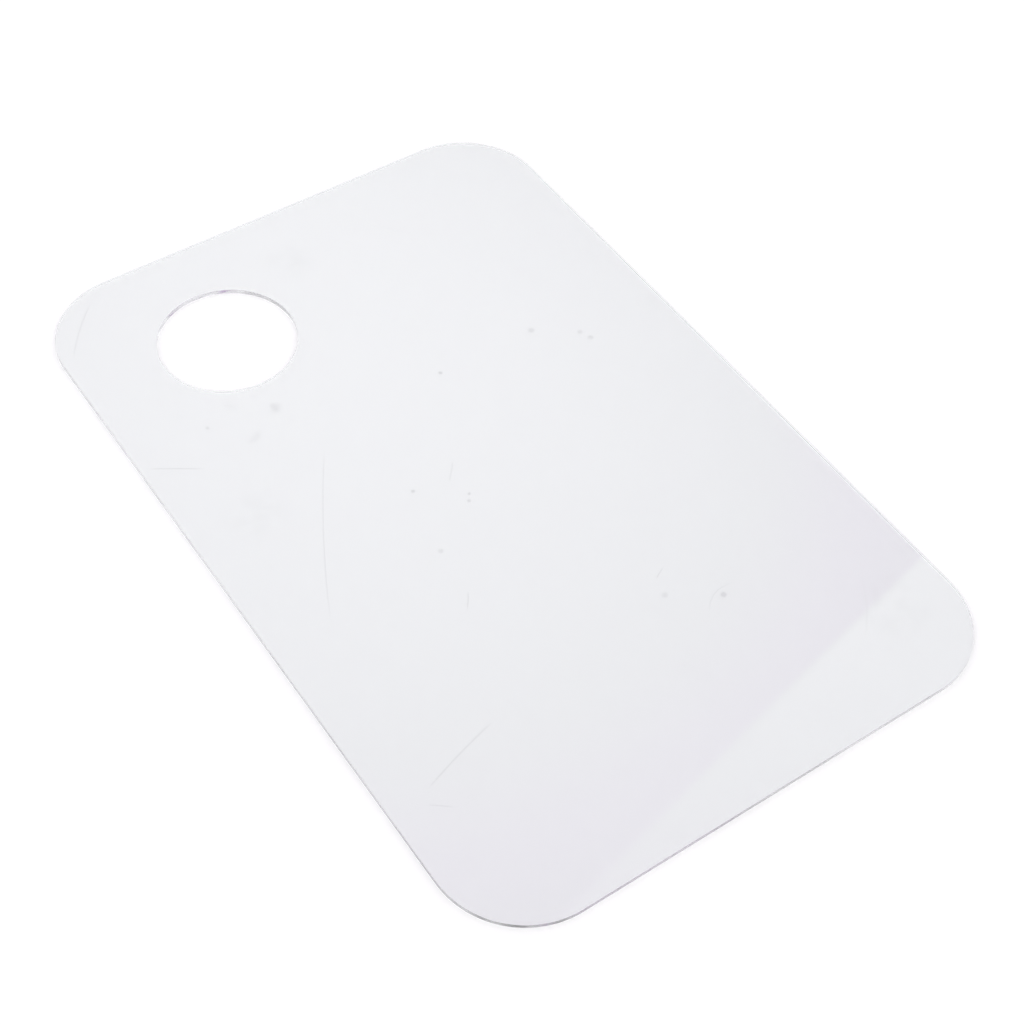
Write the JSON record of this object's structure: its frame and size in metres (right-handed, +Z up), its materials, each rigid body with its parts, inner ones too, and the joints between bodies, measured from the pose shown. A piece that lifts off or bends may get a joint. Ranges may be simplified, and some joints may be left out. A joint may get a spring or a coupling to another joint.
{
  "type": "shirt folding board",
  "caption": "Thin clear sheet with rounded corners and a round hand hole, used as a flat former to fold shirts around.",
  "frame": {"origin": "under the middle of the board, on the surface that it lies on", "axes": "+Z up through the sheet, +Y along the board towards the end with the hand hole, +X across the board away from the hole's side"},
  "size_m": [0.235, 0.356, 0.002],
  "materials": {
    "clear_sheet": "clear colourless cast acrylic, glossy on both faces, edges polished, lightly scratched from use"
  },
  "bodies": {
    "root": {"folding_board": "clear_sheet"}
  },
  "joints": []
}
